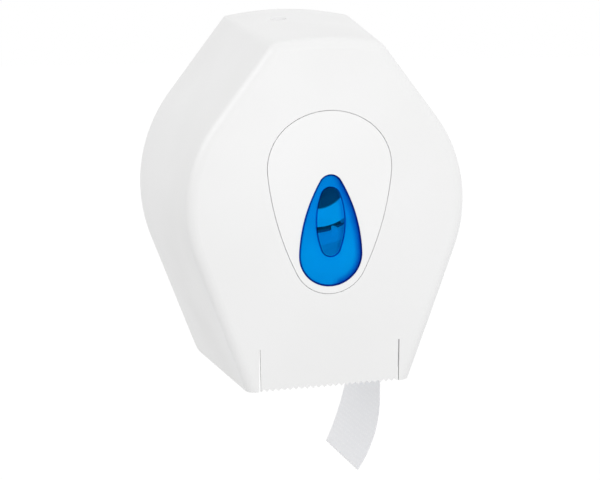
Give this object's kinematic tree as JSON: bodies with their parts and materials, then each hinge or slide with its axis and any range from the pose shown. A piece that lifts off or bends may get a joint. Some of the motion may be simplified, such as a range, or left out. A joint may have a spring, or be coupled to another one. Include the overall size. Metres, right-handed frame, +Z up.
{
  "type": "toilet paper dispenser",
  "caption": "Wall dispenser for jumbo toilet rolls: white drafted shell with a domed front, blue teardrop window, slit serrated tear edge, key lock and swing-down cover.",
  "frame": {"origin": "on the wall face of the back plate, at the centre of the round part of the outline", "axes": "+X to the right as seen from the room, +Y into the wall, +Z up"},
  "size_m": [0.2746, 0.1612, 0.4118],
  "materials": {
    "white_cover": "smooth, slightly glossy white moulding",
    "white_insert": "smooth white moulding",
    "blue_lens": "clear blue moulding",
    "grey_plastic": "grey moulding",
    "white_plastic": "white moulding",
    "lock_white": "smooth white moulding",
    "steel": "plain",
    "adaptor_plastic": "smooth white moulding",
    "cardboard": "plain board",
    "paper": "soft white tissue"
  },
  "bodies": {
    "base": {"back_plate": "grey_plastic", "spindle_post": "white_plastic", "spindle_cap": "grey_plastic", "spindle_screw_1": "steel", "spindle_screw_2": "steel", "spindle_screw_3": "steel", "hinge_pin_left": "steel", "hinge_pin_right": "steel", "lock_keeper": "steel", "keeper_screw_1": "steel", "keeper_screw_2": "steel", "paper_tail": "paper"},
    "cover": {"front_cover": "white_cover", "insert_plate": "white_insert", "window_lens": "blue_lens", "insert_clip_1": "steel", "insert_clip_2": "steel", "insert_clip_3": "steel", "insert_clip_4": "steel", "lock_barrel": "lock_white", "lock_nut": "steel"},
    "lock": {"lock_plug": "lock_white", "lock_cam": "steel", "cam_screw": "steel"},
    "roll": {"core_adaptor": "adaptor_plastic", "cardboard_core": "cardboard", "paper_roll": "paper"}
  },
  "joints": [
    {"name": "cover_swing", "type": "hinge", "parent": "base", "child": "cover", "pos_m": [0, -0.0085, -0.1495], "axis": [1, 0, 0], "range_deg": [0, 88]},
    {"name": "lock_turn", "type": "hinge", "parent": "cover", "child": "lock", "pos_m": [-0.019, -0.057, 0.138], "axis": [0, 0, 1], "range_deg": [0, 90]},
    {"name": "roll_spin", "type": "hinge", "parent": "base", "child": "roll", "pos_m": [0, -0.06, 0.0175], "axis": [0, 1, 0], "continuous": true}
  ]
}
